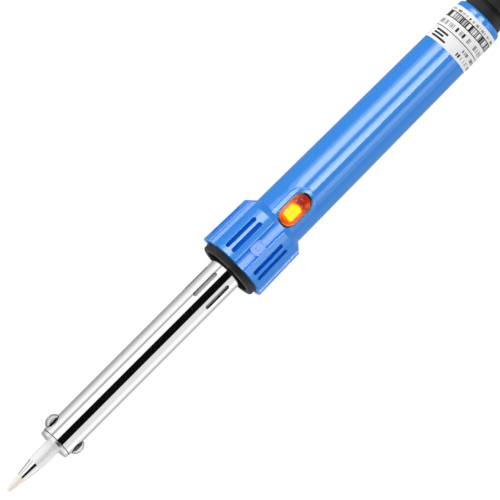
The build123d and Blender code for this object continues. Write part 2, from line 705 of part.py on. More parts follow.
LAMP_BEND = 0.8
LAMP_STUB = 1.2
with BuildPart() as lamp_leads:
    wire(
        [
            (RESISTOR_X + RESISTOR_LENGTH, RESISTOR_Y, NEON_HEIGHT),
            (BLOCK_X - 6, RESISTOR_Y, NEON_HEIGHT),
            (BLOCK_X - 3, POLE_PITCH, LAMP_WIRE_Z),
            (CLAMP_WIRE_X, POLE_PITCH, LAMP_WIRE_Z),
        ],
        LAMP_WIRE_R,
        LAMP_BEND,
    )
    wire(
        [
            (NEON_END_X, -RESISTOR_Y, NEON_HEIGHT),
            (NEON_END_X + LAMP_STUB, -RESISTOR_Y, NEON_HEIGHT),
            (NEON_END_X + LAMP_STUB + RESISTOR_GAP, -POLE_PITCH, NEON_HEIGHT),
            (BLOCK_X - 6, -POLE_PITCH, NEON_HEIGHT),
            (BLOCK_X - 3, -POLE_PITCH, LAMP_WIRE_Z),
            (CLAMP_WIRE_X, -POLE_PITCH, LAMP_WIRE_Z),
        ],
        LAMP_WIRE_R,
        LAMP_BEND,
    )
    with BuildSketch(lamp_plane(NEON_END_X, RESISTOR_Y)):
        Circle(LAMP_WIRE_R)
    extrude(amount=RESISTOR_GAP)
save(lamp_leads, "lamp_leads")

# ---------------------------------------------------------------- strain relief boot
NECK_X = REAR_INSIDE_X
BOOT_PITCH = BOOT_RING + BOOT_GROOVE
RIBBED_X = BOOT_RIB_COUNT * BOOT_PITCH
BOOT_END_X = RIBBED_X + BOOT_TIP
BOOT_TAPER = (BOOT_R - BOOT_END_R) / RIBBED_X


def boot_r(x):
    """The boot's radius over its ribs."""
    return BOOT_R - BOOT_TAPER * x


with BuildPart() as strain_relief_boot:
    boot_side = [
        (NECK_X - BOOT_FLANGE, CORD_BORE_R),
        (NECK_X - BOOT_FLANGE, BOOT_FLANGE_R),
        (NECK_X, BOOT_FLANGE_R),
        (NECK_X, REAR_HOLE_R - SEAT_CLEARANCE),
        (0, REAR_HOLE_R - SEAT_CLEARANCE),
    ]
    for n in range(BOOT_RIB_COUNT):
        rib_x = n * BOOT_PITCH
        groove_r = max(boot_r(rib_x + BOOT_RING) - BOOT_GROOVE_DEPTH, CORD_BORE_R + 0.9)
        boot_side += [
            (rib_x, boot_r(rib_x)),
            (rib_x + BOOT_RING, boot_r(rib_x + BOOT_RING)),
            (rib_x + BOOT_RING, groove_r),
            (rib_x + BOOT_PITCH, groove_r),
        ]
    boot_side += [(RIBBED_X, BOOT_END_R), (BOOT_END_X, BOOT_END_R), (BOOT_END_X, CORD_BORE_R)]
    turn(boot_side)
    for n in range(BOOT_RIB_COUNT):
        upright = n % 2 == 1
        size = (BOOT_OPENING, 4 * BOOT_R) if upright else (4 * BOOT_R, BOOT_OPENING)
        with BuildSketch(across(n * BOOT_PITCH + BOOT_RING)):
            Rectangle(*size)
        extrude(amount=BOOT_GROOVE, mode=Mode.SUBTRACT)
save(strain_relief_boot, "strain_relief_boot")

# ---------------------------------------------------------------- cord clamp: two halves and two screws
CLAMP_END_X = NECK_X - BOOT_FLANGE
CLAMP_START_X = CLAMP_END_X - CLAMP_BLOCK_LENGTH
CORD_SCREW_Y = (CORD_BORE_R + CLAMP_BLOCK_R) / 2
CORD_SCREW_X = (CLAMP_START_X + CLAMP_END_X) / 2
CORD_HEAD_Z = 2.6
CORD_SPOTS = [(CORD_SCREW_X, CORD_SCREW_Y), (CORD_SCREW_X, -CORD_SCREW_Y)]
with BuildPart() as cord_clamp:
    turn(ring(CLAMP_START_X, CLAMP_END_X, CORD_BORE_R - CORD_GRIP, CLAMP_BLOCK_R))
    with BuildSketch(Plane.XY):
        with Locations((CORD_SCREW_X, 0)):
            Rectangle(CLAMP_BLOCK_LENGTH, 2 * CLAMP_BLOCK_R)
    extrude(amount=CLAMP_BLOCK_GAP / 2, both=True, mode=Mode.SUBTRACT)
    with BuildSketch(Plane.XY):
        with Locations(CORD_SPOTS):
            Circle(CORD_SCREW_R)
    extrude(amount=CLAMP_BLOCK_R, both=True, mode=Mode.SUBTRACT)
    with BuildSketch(Plane.XY.offset(CORD_HEAD_Z)):
        with Locations(CORD_SPOTS):
            Circle(CORD_SCREW_HEAD_R + SEAT_CLEARANCE)
    extrude(amount=CLAMP_BLOCK_R, mode=Mode.SUBTRACT)
save(cord_clamp, "cord_clamp")

with BuildPart() as clamp_screws:
    with BuildSketch(Plane.XY.offset(-CORD_HEAD_Z)):
        with Locations(CORD_SPOTS):
            Circle(CORD_SCREW_R)
    extrude(amount=2 * CORD_HEAD_Z)
    with BuildSketch(Plane.XY.offset(CORD_HEAD_Z)):
        with Locations(CORD_SPOTS):
            Circle(CORD_SCREW_HEAD_R)
    extrude(amount=CORD_SCREW_R)
save(clamp_screws, "clamp_screws")

# ---------------------------------------------------------------- rating label
with BuildPart() as rating_label:
    label_start_r = handle_r(LABEL_X) + GLUE_CLEARANCE
    label_end_r = handle_r(LABEL_X + LABEL_LENGTH) + GLUE_CLEARANCE
    turn(
        [
            (LABEL_X, -label_start_r),
            (LABEL_X + LABEL_LENGTH, -label_end_r),
            (LABEL_X + LABEL_LENGTH, -label_end_r - LABEL_THICKNESS),
            (LABEL_X, -label_start_r - LABEL_THICKNESS),
        ],
        arc=LABEL_WRAP,
    )
save(rating_label, "rating_label")
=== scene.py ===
"""Looks for a mains soldering iron.

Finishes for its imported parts, its lamp lens, and a white light table.
"""

import math

import bmesh
import bpy
from mathutils import Matrix, Vector


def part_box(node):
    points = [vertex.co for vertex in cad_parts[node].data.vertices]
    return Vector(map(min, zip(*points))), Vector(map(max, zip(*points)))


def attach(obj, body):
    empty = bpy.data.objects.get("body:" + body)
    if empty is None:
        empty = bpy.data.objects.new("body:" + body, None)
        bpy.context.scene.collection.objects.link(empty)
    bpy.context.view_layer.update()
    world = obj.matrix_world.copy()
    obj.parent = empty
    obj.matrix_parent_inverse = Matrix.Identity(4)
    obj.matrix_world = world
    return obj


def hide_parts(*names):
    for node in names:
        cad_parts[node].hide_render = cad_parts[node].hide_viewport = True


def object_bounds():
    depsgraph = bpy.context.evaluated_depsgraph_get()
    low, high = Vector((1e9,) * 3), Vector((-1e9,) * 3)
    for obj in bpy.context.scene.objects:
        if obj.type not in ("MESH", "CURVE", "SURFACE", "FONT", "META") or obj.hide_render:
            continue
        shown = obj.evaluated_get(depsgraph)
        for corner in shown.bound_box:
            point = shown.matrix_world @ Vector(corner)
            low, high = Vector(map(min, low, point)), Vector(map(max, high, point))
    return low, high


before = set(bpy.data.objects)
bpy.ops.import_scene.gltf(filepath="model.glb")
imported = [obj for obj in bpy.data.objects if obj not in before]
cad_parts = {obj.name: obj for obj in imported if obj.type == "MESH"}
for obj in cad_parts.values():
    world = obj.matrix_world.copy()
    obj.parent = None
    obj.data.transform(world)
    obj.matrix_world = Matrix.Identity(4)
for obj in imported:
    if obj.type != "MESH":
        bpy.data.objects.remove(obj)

bl_info = {
    "name": "Soldering Iron Looks",
    "version": (1, 0, 0),
    "blender": (4, 5, 0),
    "location": "View3D > Sidebar > Iron",
    "description": "Finishes the parts of a soldering iron and sets up a light table round it",
    "category": "Object",
}

CAD_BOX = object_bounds()
MM = 0.001
MM_PER_METRE = 1000.0
WHITE = (1.0, 1.0, 1.0, 1.0)
BLACK = (0.0, 0.0, 0.0, 1.0)


def corners(node):
    """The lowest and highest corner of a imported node, in metres."""
    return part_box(node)


TIP_X = corners("soldering_tip")[0].x
BARREL_R = corners("barrel_tube")[1].z
COLLAR_X = corners("handle_shell")[0].x
COLLAR_R = corners("handle_shell")[1].y
LENS_LOW, LENS_HIGH = corners("indicator_lens")
LENS_MIDDLE = (LENS_LOW + LENS_HIGH) / 2
LABEL_LOW, LABEL_HIGH = corners("rating_label")
FLOOR_Z = CAD_BOX[0].z


# ------------------------------------------------------------------ shader maths
class Term:
    """A number or colour inside a material; arithmetic on it adds Math nodes to the same tree."""

    def __init__(self, shading, socket):
        self.shading = shading
        self.socket = socket

    def maths(self, operation, first, second=0.0):
        """One Math node."""
        settings = {"operation": operation}
        return self.shading.node("ShaderNodeMath", settings, {0: first, 1: second})

    def __add__(self, other):
        return self.maths("ADD", self, other)

    def __radd__(self, other):
        return self.maths("ADD", other, self)

    def __sub__(self, other):
        return self.maths("SUBTRACT", self, other)

    def __rsub__(self, other):
        return self.maths("SUBTRACT", other, self)

    def __mul__(self, other):
        return self.maths("MULTIPLY", self, other)

    def __rmul__(self, other):
        return self.maths("MULTIPLY", other, self)

    def __truediv__(self, other):
        return self.maths("DIVIDE", self, other)

    def __rtruediv__(self, other):
        return self.maths("DIVIDE", other, self)

    def __gt__(self, other):
        return self.maths("GREATER_THAN", self, other)

    def __lt__(self, other):
        return self.maths("LESS_THAN", self, other)

    def __abs__(self):
        return self.maths("ABSOLUTE", self)

    def __pow__(self, other):
        return self.maths("POWER", self, other)

    def __rpow__(self, other):
        return self.maths("POWER", other, self)

    def larger(self, other):
        """The larger of two numbers."""
        return self.maths("MAXIMUM", self, other)

    def smaller(self, other):
        """The smaller of two numbers."""
        return self.maths("MINIMUM", self, other)

    def floor(self):
        """The whole number below."""
        return self.maths("FLOOR", self)

    def fraction(self):
        """What is left above the whole number."""
        return self.maths("FRACT", self)

    def sine(self):
        """The sine of an angle in radians."""
        return self.maths("SINE", self)

    def arctan2(self, other):
        """The angle whose tangent is this number over the other, all the way round, in radians."""
        return self.maths("ARCTAN2", self, other)

    def within(self, low, high):
        """1 between low and high, and 0 outside."""
        return (self > low) * (self < high)

    def ramp(self, low, high):
        """0 at low, 1 at high, smooth between."""
        settings = {"interpolation_type": "SMOOTHSTEP"}
        sockets = {"Value": self, "From Min": low, "From Max": high}
        return self.shading.node("ShaderNodeMapRange", settings, sockets)


class Shading:
    """A node tree being made, and the one method that adds any node to it."""

    def __init__(self, tree, shader):
        self.tree = tree
        self.shader = tree.nodes[shader]

    def put(self, sockets):
        """Sets or links sockets of the tree's shader."""
        self.fill(self.shader, sockets)
        return self

    def fill(self, node, sockets):
        """Sets or links a node's input sockets."""
        for name, value in sockets.items():
            if isinstance(value, Term):
                self.tree.links.new(value.socket, node.inputs[name])
            else:
                node.inputs[name].default_value = value

    def node(self, kind, settings, sockets, output=0):
        """Adds a node with its settings, then its sockets, and gives one of its outputs."""
        made = self.tree.nodes.new(kind)
        for name, value in settings.items():
            if name == "stops":
                elements = made.color_ramp.elements
                while len(elements) < len(value):
                    elements.new(1.0)
                for element, (position, colour) in zip(elements, value):
                    element.position = position
                    element.color = (*colour, 1.0)
            else:
                setattr(made, name, value)
        self.fill(made, sockets)
        return Term(self, made.outputs[output])

    def split(self, vector):
        """The three numbers in a vector."""
        x = self.node("ShaderNodeSeparateXYZ", {}, {0: vector})
        outputs = x.socket.node.outputs
        return [Term(self, outputs[n]) for n in range(3)]


class Finish(Shading):
    """A material being made, with the nodes that its patterns come from."""

    def __init__(self, name, sockets):
        self.material = bpy.data.materials.new(name)
        self.material.use_nodes = True
        super().__init__(self.material.node_tree, "Principled BSDF")
        self.put(sockets)

    def overlay(self, factor, sockets):
        """Lays a second surface over the first one, as far as the factor goes."""
        second = self.node("ShaderNodeBsdfPrincipled", {}, sockets)
        first = Term(self, self.shader.outputs[0])
        both = self.node("ShaderNodeMixShader", {}, {0: factor, 1: first, 2: second})
        self.fill(self.tree.nodes["Material Output"], {"Surface": both})

    def place(self):
        """Where a point is in the iron's frame, as a vector."""
        return self.node("ShaderNodeTexCoord", {}, {}, "Object")

    def axes(self):
        """Where a point is in the iron's frame, as three numbers, in metres."""
        return self.split(self.place())

    def turned(self, y, z):
        """The angle round the iron from straight up towards -Y, in radians."""
        return (0.0 - y).arctan2(z)

    def off_axis(self):
        """How far a point is from the iron's axis, in metres."""
        flat = self.stretched((0.0, 1.0, 1.0))
        return self.measure("LENGTH", {0: flat})

    def apart(self, spot):
        """How far a point is from a spot, in metres."""
        return self.measure("DISTANCE", {0: self.place(), 1: spot})

    def measure(self, operation, sockets):
        """A number from a Vector Math node, which is its second output."""
        return self.node("ShaderNodeVectorMath", {"operation": operation}, sockets, 1)

    def graded(self, factor, stops):
        """A colour from a row of (position, colour) stops."""
        return self.node("ShaderNodeValToRGB", {"stops": stops}, {0: factor})

    def stretched(self, scale):
        """The place, scaled by three numbers, so that a pattern on it runs long or short."""
        return self.node("ShaderNodeMapping", {}, {"Vector": self.place(), "Scale": scale})

    def noise(self, vector, scale, detail):
        """Soft noise from 0 to 1."""
        sockets = {"Vector": vector, "Scale": scale, "Detail": detail}
        return self.node("ShaderNodeTexNoise", {}, sockets)

    def chance(self, number):
        """A number from 0 to 1 that looks random but is the same for the same number."""
        return self.node("ShaderNodeTexWhiteNoise", {"noise_dimensions": "1D"}, {"W": number})

    def cells(self, vector, scale, randomness):
        """Distance to the nearest cell middle."""
        sockets = {"Vector": vector, "Scale": scale, "Randomness": randomness}
        return self.node("ShaderNodeTexVoronoi", {}, sockets)

    def mix(self, factor, first, second):
        """A colour between two colours."""
        sockets = {0: factor, 6: rgba(first), 7: rgba(second)}
        return self.node("ShaderNodeMix", {"data_type": "RGBA"}, sockets, 2)

    def bump(self, height, depth, under=None):
        """A normal whose height is in units of depth, in metres."""
        sockets = {"Height": height, "Distance": depth, "Strength": 1.0}
        if under is not None:
            sockets["Normal"] = under
        return self.node("ShaderNodeBump", {}, sockets)

    def soft_edges(self, radius, samples=4):
        """A normal that rounds sharp edges by radius, in metres."""
        return self.node("ShaderNodeBevel", {"samples": samples}, {"Radius": radius})


def rgba(colour):
    """A colour with its alpha, where it is a plain one."""
    return colour if isinstance(colour, Term) or len(colour) == 4 else (*colour, 1.0)


def shade(colour, amount):
    """A colour made darker by an amount below 1."""
    return [amount * part for part in colour]


def dress(finish, *nodes):
    """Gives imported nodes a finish."""
    for name in nodes:
        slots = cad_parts[name].data.materials
        slots.clear()
        slots.append(finish.material)


def new_piece(name, shape, material):
    """A mesh object from a bmesh, which it frees."""
    mesh = bpy.data.meshes.new(name)
    shape.to_mesh(mesh)
    shape.free()
    mesh.materials.append(material)
    piece = bpy.data.objects.new(name, mesh)
    bpy.context.scene.collection.objects.link(piece)
    return piece


# ------------------------------------------------------------------ sizes and colours
class IronSizes(bpy.types.PropertyGroup):
    """Sizes that a user may change."""

    tinned_length: bpy.props.FloatProperty(
        name="Tinned Length",
        description="How far back from the point the tip is tinned",
        default=6.8 * MM,
        unit="LENGTH",
    )
    bright_length: bpy.props.FloatProperty(
        name="Bright Length",
        description="From the point to where the bright cone ends",
        default=13.9 * MM,
        unit="LENGTH",
    )
    pip_radius: bpy.props.FloatProperty(
        name="Pip Radius",
        description="Radius of a round pip on the lens",
        default=0.55 * MM,
        unit="LENGTH",
    )
    picture_width: bpy.props.FloatProperty(
        name="Picture Width",
        description="How wide a stretch the camera takes in at the iron",
        default=182.5 * MM,
        unit="LENGTH",
    )


class IronColours(bpy.types.PropertyGroup):
    """Colours that a user may change."""

    handle: bpy.props.FloatVectorProperty(
        name="Handle",
        description="Colour of the handle's plastic",
        default=(0.004, 0.245, 0.81),
        subtype="COLOR",
        min=0.0,
        max=1.0,
    )
    lens: bpy.props.FloatVectorProperty(
        name="Lens",
        description="Colour of the lamp's lens",
        default=(0.70, 0.045, 0.012),
        subtype="COLOR",
        min=0.0,
        max=1.0,
    )
    glow: bpy.props.FloatVectorProperty(
        name="Glow",
        description="Colour of the lamp's light",
        default=(1.0, 0.93, 0.002),
        subtype="COLOR",
        min=0.0,
        max=1.0,
    )
    insulator: bpy.props.FloatVectorProperty(
        name="Insulator",
        description="Colour of the front insulator",
        default=(0.014, 0.014, 0.014),
        subtype="COLOR",
        min=0.0,
        max=1.0,
    )
    boot: bpy.props.FloatVectorProperty(
        name="Boot",
        description="Colour of the strain relief boot",
        default=(0.015, 0.015, 0.016),
        subtype="COLOR",
        min=0.0,
        max=1.0,
    )


class IronOperator(bpy.types.Operator):
    """What the iron's operators share."""

    bl_options = {"REGISTER", "UNDO"}

    @property
    def sizes(self):
        """The user's sizes."""
        return bpy.context.scene.iron_sizes

    @property
    def colours(self):
        """The user's colours."""
        return bpy.context.scene.iron_colours


# ------------------------------------------------------------------ metal parts
DRAW_MARKS = (40.0, 900.0, 900.0)  # the pattern's scale along each axis: long and fine


def steel(name, colour, roughness):
    """Bright metal with fine draw marks along the iron and a slightly uneven polish."""
    finish = Finish(name, {"Metallic": 1.0})
    patches = finish.noise(finish.place(), 60.0, 4.0)
    marks = finish.noise(finish.stretched(DRAW_MARKS), 6.0, 2.0)
    uneven = 1.0 + 0.3 * (patches - 0.5) + 0.3 * (marks - 0.5)
    finish.put(
        {
            "Roughness": roughness * uneven,
            "Base Color": finish.mix(patches, colour, shade(colour, 0.95)),
        }
    )
    return finish


TIN = (1.0, 0.91, 0.82)
BRIGHT_PLATE = (0.94, 0.94, 0.94)
SATIN_PLATE = (0.98, 0.975, 0.975)
TIN_EDGE_FADE = 0.5 * MM
TIN_EDGE_WANDER = 1.2 * MM
CONE_EDGE_FADE = 0.06 * MM


class IRON_OT_tip(IronOperator):
    """Finishes the tip: satin plated shank, bright cone and tinned point"""

    bl_idname = "iron.tip"
    bl_label = "Soldering Tip"

    def execute(self, context):
        finish = Finish("tip_plating", {})
        patches = finish.noise(finish.place(), 260.0, 4.0)
        drawn = finish.noise(finish.stretched((120.0, 700.0, 700.0)), 1.0, 2.0)
        from_point = finish.axes()[0] - TIP_X
        wandered = from_point + TIN_EDGE_WANDER * (patches - 0.5)
        tin_end = self.sizes.tinned_length
        tinned = 1.0 - wandered.ramp(tin_end - TIN_EDGE_FADE, tin_end + TIN_EDGE_FADE)
        cone_end = self.sizes.bright_length
        satin = from_point.ramp(cone_end - CONE_EDGE_FADE, cone_end + CONE_EDGE_FADE)
        pits = finish.noise(finish.stretched((1500.0, 1500.0, 1500.0)), 3.0, 3.0)
        plated = finish.mix(satin, BRIGHT_PLATE, SATIN_PLATE)
        rough = 0.09 + 0.36 * satin + 0.03 * (drawn - 0.5)
        pitted = satin * 0.2 + tinned * 0.4 + 0.02
        finish.put(
            {
                "Base Color": finish.mix(tinned, plated, TIN),
                "Metallic": 1.0 - 0.65 * satin - 0.75 * tinned,
                "Roughness": rough + 0.42 * tinned,
                "Normal": finish.bump(pits * pitted, 0.001 * MM),
            }
        )
        dress(finish, "soldering_tip")
        return {"FINISHED"}


POLISHED_STEEL = (0.93, 0.93, 0.935)
# Painted shade inside the bore of the tube.
PAINTED_BORE_SHADE = (0.03, 0.03, 0.03)
TURNED_STEEL = (0.92, 0.92, 0.925)
SCREW_STEEL = (0.72, 0.72, 0.725)
TURNING_PITCH = 0.18 * MM
THREAD_PITCH = 0.5 * MM
THREAD_HEIGHT = 0.12 * MM
THREAD_END_Y = 6.5 * MM  # how far from the iron's axis the thread stops, under the screw's head


class IRON_OT_barrel(IronOperator):
    """Finishes the polished barrel, the turned nose bush and the tip screws"""

    bl_idname = "iron.barrel"
    bl_label = "Barrel and Nose"

    def execute(self, context):
        self.tube()
        self.bush()
        self.screw("set_screw_left", 1.0)
        self.screw("set_screw_right", -1.0)
        return {"FINISHED"}

    def tube(self):
        """A mirror polish with fine scuffs outside, and the bore painted dark as shade."""
        polish = Finish("barrel_polish", {"Metallic": 1.0})
        scuffs = polish.noise(polish.stretched(DRAW_MARKS), 6.0, 2.0)
        outside = polish.off_axis().ramp(BARREL_R - 0.25 * MM, BARREL_R - 0.05 * MM)
        polish.put(
            {
                "Base Color": polish.mix(outside, PAINTED_BORE_SHADE, POLISHED_STEEL),
                "Roughness": 0.035 + 0.4 * (1.0 - outside) + 0.01 * scuffs,
            }
        )
        dress(polish, "barrel_tube")

    def bush(self):
        """Steel with the rings that turning leaves."""
        bush = steel("turned_bush", TURNED_STEEL, 0.30)
        rings = (bush.off_axis() * (math.tau / TURNING_PITCH)).sine()
        bush.put({"Normal": bush.bump(rings, 0.002 * MM, bush.soft_edges(0.30 * MM))})
        dress(bush, "nose_bush")

    def screw(self, name, side):
        """A plated screw with its thread under the head; side is 1 towards +Y and -1 towards -Y."""
        screw = steel("screw_plating_" + name, SCREW_STEEL, 0.14)
        x, y, z = screw.axes()
        low, high = corners(name)
        angle = (x - (low.x + high.x) / 2).arctan2(z)
        thread = (y * (math.tau * side / THREAD_PITCH) + angle).sine()
        shank = 1.0 - abs(y).ramp(THREAD_END_Y, THREAD_END_Y + 0.1 * MM)
        edges = screw.soft_edges(0.10 * MM)
        screw.put({"Normal": screw.bump(thread * shank, THREAD_HEIGHT, edges)})
        dress(screw, name)


# ------------------------------------------------------------------ mouldings
def moulding(name, colour, roughness, grain, edge, scale=2200.0):
    """Moulded plastic or rubber: fine grain, uneven gloss and softened edges."""
    finish = Finish(name, {"IOR": 1.5})
    patches = finish.noise(finish.place(), 45.0, 3.0)
    fine = finish.noise(finish.place(), scale, 2.0)
    sheen = roughness + 0.10 * roughness * (patches - 0.5) + 0.3 * roughness * (fine - 0.5)
    finish.put(
        {
            "Base Color": finish.mix(patches, colour, shade(colour, 0.94)),
            "Roughness": sheen,
            "Normal": finish.bump(fine, grain, finish.soft_edges(edge)),
        }
    )
    return finish


PAD_COUNT = 6
SLOT_REACH = math.radians(12.0)  # how far the slots in a pad reach from its middle
SLOT_WALL_TOP = COLLAR_R - 0.9 * MM
SLOT_WALL_LOW = COLLAR_R - 1.5 * MM
SLOT_END_X = COLLAR_X + 20.0 * MM
SLOT_BLUE = (0.012, 0.20, 0.80)


class IRON_OT_handle(IronOperator):
    """Finishes the glossy handle and the grip collar with its dull slots"""

    bl_idname = "iron.handle"
    bl_label = "Handle"

    def execute(self, context):
        blue = list(self.colours.handle)
        finish = Finish("blue_moulding", {"IOR": 1.5})
        flow = finish.noise(finish.stretched((10.0, 60.0, 60.0)), 1.0, 3.0)
        wipe = finish.noise(finish.stretched((60.0, 900.0, 900.0)), 1.0, 2.0)
        x, y, z = finish.axes()
        pad = math.tau / PAD_COUNT
        off_middle = abs((finish.turned(y, z) / pad + PAD_COUNT).fraction() - 0.5) * pad
        deep = 1.0 - finish.off_axis().ramp(SLOT_WALL_LOW, SLOT_WALL_TOP)
        slots = deep * (off_middle < SLOT_REACH) * (x < SLOT_END_X)
        finish.put(
            {
                "Base Color": finish.mix(flow, blue, shade(blue, 0.94)),
                "Roughness": 0.15 + 0.02 * (wipe - 0.5),
                "Normal": finish.bump(flow, 0.003 * MM, finish.soft_edges(0.22 * MM, 8)),
            }
        )
        dull = finish.mix(wipe, SLOT_BLUE, shade(SLOT_BLUE, 0.88))
        finish.overlay(slots, {"Base Color": dull, "Roughness": 0.9, "Specular IOR Level": 0.0})
        dress(finish, "handle_shell")
        return {"FINISHED"}


class IRON_OT_insulator(IronOperator):
    """Finishes the black front insulator"""

    bl_idname = "iron.insulator"
    bl_label = "Front Insulator"

    def execute(self, context):
        colour = list(self.colours.insulator)
        black = moulding("black_heatproof_moulding", colour, 0.48, 0.006 * MM, 0.15 * MM)
        dress(black.put({"Specular IOR Level": 0.35}), "front_insulator")
        return {"FINISHED"}


class IRON_OT_boot(IronOperator):
    """Finishes the rubber strain relief boot"""

    bl_idname = "iron.boot"
    bl_label = "Cord Boot"

    def execute(self, context):
        colour = list(self.colours.boot)
        rubber = moulding("boot_rubber", colour, 0.55, 0.012 * MM, 0.25 * MM, 1400.0)
        dress(rubber.put({"Specular IOR Level": 0.4}), "strain_relief_boot")
        return {"FINISHED"}


# ------------------------------------------------------------------ lamp
# The pips' middles at one end of the lens, in millimetres: along from its middle, and across it.
PIP_SPOTS = ((2.4, 1.7), (4.15, 0.6), (2.3, -0.7))
PIPS_SHIFT = 0.3  # how far both groups of pips lie towards the cord, in millimetres
PIP_SUNK = 0.35  # how deep a pip's middle lies, as a share of its radius
PIP_FLATNESS = 0.75  # a pip's height as a share of its width
# Where the lamp's painted glow shines through and the small painted brighter patch, along and
# across, in millimetres.
LAMP_SPOT = (-1.4, -0.2)
LAMP_REACH = (3.6, 2.7)
PATCH_SPOT = (4.4, 1.9)
LIP_HIGHLIGHT_INSET = 0.80  # how far in from the rim the painted lip highlight lies, in millimetres
LIP_HIGHLIGHT_HALF_WIDTH = 0.22

# Painted glow that stands for the lamp's light in the plastic, from its darkest to where the lamp's
# glow begins.
DIM_GLOW_STOPS = (
    (0.0, (0.10, 0.008, 0.006)),
    (0.20, (0.30, 0.016, 0.010)),
    (0.38, (0.66, 0.045, 0.008)),
    (0.52, (0.92, 0.13, 0.008)),
    (0.68, (1.0, 0.42, 0.006)),
)
BRIGHTEST_GLOW = (1.0, 0.97, 0.10)
# Painted shade round the feet of the pips.
PAINTED_PIP_SHADE = (0.10, 0.008, 0.006)
# A painted highlight on the lip just inside the rim.
PAINTED_LIP_HIGHLIGHT = (1.0, 0.62, 0.42)
# Painted shade at the lens's rim, in its base colour and then in its glow.
PAINTED_RIM_SHADE = (0.006, 0.003, 0.003)
RIM_SHADE_GLOW = (0.012, 0.003, 0.003)


class IRON_OT_lamp(IronOperator):
    """Builds the lens with its round pips, with the light of the lamp under it painted on as glow
    """

    bl_idname = "iron.lamp"
    bl_label = "Indicator Lamp"

    def execute(self, context):
        lens = bmesh.new()
        lens.from_mesh(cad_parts["indicator_lens"].data)
        bmesh.ops.remove_doubles(lens, verts=lens.verts, dist=0.001 * MM)
        for spot in self.spots():
            self.pip(lens, spot)
        piece = new_piece("lamp_lens", lens, self.plastic().material)
        for face in piece.data.polygons:
            face.use_smooth = True
        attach(piece, "iron")
        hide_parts("indicator_lens")
        self.lamp()
        return {"FINISHED"}

    def spots(self):
        """Where the pips' middles are, on the crowned top."""
        crown = LENS_HIGH.z
        for end in (-1, 1):
            for along, across in PIP_SPOTS:
                y = across * MM
                x = LENS_MIDDLE.x + (PIPS_SHIFT + end * along) * MM
                yield Vector((x, y, math.sqrt(crown * crown - y * y)))

    def pip(self, lens, spot):
        """A low dome that stands on the lens."""
        radius = self.sizes.pip_radius
        sunk = Matrix.Translation(spot - Vector((0, 0, radius * PIP_SUNK)))
        dome = sunk @ Matrix.Diagonal((1, 1, PIP_FLATNESS, 1))
        bmesh.ops.create_uvsphere(lens, u_segments=20, v_segments=12, radius=radius, matrix=dome)

    def plastic(self):
        """Glossy orange-red plastic, with painted yellow glow where the lamp is behind it, painted
        shade round its rim, a painted highlight just inside the rim and painted shade round the
        pips' feet.
        """
        finish = Finish("lens_plastic", {"IOR": 1.5, "Coat Weight": 0.4, "Coat Roughness": 0.03})
        x, y = finish.axes()[:2]
        along = (x - LENS_MIDDLE.x) * MM_PER_METRE
        across = (0.0 - y) * MM_PER_METRE
        cloud = finish.noise(finish.place(), 420.0, 2.0) - 0.5
        flecks = finish.noise(finish.place(), 900.0, 2.0) - 0.5
        # The lamp's light through the plastic is painted on as glow in the emission.
        lit = self.lit(along, across, cloud)
        dim_glow = 0.46 + cloud * 0.35 + flecks * 0.20 - 0.22 * self.far_end(along, across)
        glow_level = dim_glow * (1.0 - lit) + lit * (0.86 + flecks * 0.35)
        stops = [*DIM_GLOW_STOPS, (0.80, tuple(self.colours.glow)), (1.0, BRIGHTEST_GLOW)]
        rim_shade, lip_highlight = self.edges(along, across, cloud)
        # Painted shade round the pips' feet, fainter where the lamp's painted glow is.
        pip_shade = self.pip_feet(finish) * (0.75 - 0.55 * lit)
        glowing = finish.mix(lip_highlight.larger(0.0), finish.graded(glow_level, stops), PAINTED_LIP_HIGHLIGHT)
        shaded = finish.mix(pip_shade, glowing, PAINTED_PIP_SHADE)
        finish.put(
            {
                "Base Color": finish.mix(rim_shade, shade(self.colours.lens, 0.10), PAINTED_RIM_SHADE),
                "Emission Color": finish.mix(rim_shade, shaded, RIM_SHADE_GLOW),
                "Emission Strength": 1.0,
                "Roughness": 0.06 + 0.06 * (cloud + 0.5),
                "Specular IOR Level": 0.4,
                "Normal": finish.bump(cloud, 0.03 * MM, finish.soft_edges(0.30 * MM)),
            }
        )
        return finish

    def lit(self, along, across, cloud):
        """1 where the lamp is right behind the plastic and its glow is painted on, and 0 away from
        it.
        """
        off_along = abs(along - LAMP_SPOT[0]) / LAMP_REACH[0]
        off_across = abs(across - LAMP_SPOT[1]) / LAMP_REACH[1]
        off = (off_along ** 4.0 + off_across ** 4.0) ** 0.5
        return 1.0 - (off + cloud * 0.8).ramp(0.30, 1.30)

    def far_end(self, along, across):
        """1 towards the cord, where the painted glow of the lamp's light is weak, but for a small
        painted brighter patch.
        """
        patch_x, patch_y = PATCH_SPOT
        off_patch = ((along - patch_x) ** 2.0 + (across - patch_y) ** 2.0 * 1.6) ** 0.5
        return along.ramp(0.6, 3.6) - 0.8 * (1.0 - off_patch.ramp(0.3, 1.8))

    def edges(self, along, across, cloud):
        """Where painted shade darkens the plastic at its rim, and the painted highlight on the lip
        just inside it.
        """
        half_length = (LENS_HIGH.x - LENS_LOW.x) / 2 * MM_PER_METRE
        half_width = (LENS_HIGH.y - LENS_LOW.y) / 2 * MM_PER_METRE
        past = (abs(along) - (half_length - half_width)).larger(0.0)
        inset = half_width - (past ** 2.0 + across ** 2.0) ** 0.5
        # The painted rim shade reaches further in at the ends, furthest at the cord's end.
        ends = past.ramp(0.2, 2.2) * (0.32 + 0.30 * (along > 0.0))
        rim_shade = 1.0 - (inset - ends).ramp(0.15, 0.50)
        off_lip_highlight = abs(inset - LIP_HIGHLIGHT_INSET) / LIP_HIGHLIGHT_HALF_WIDTH
        lip_highlight = (1.0 - off_lip_highlight.ramp(0.3, 1.0)) * (0.16 + cloud)
        return rim_shade, lip_highlight

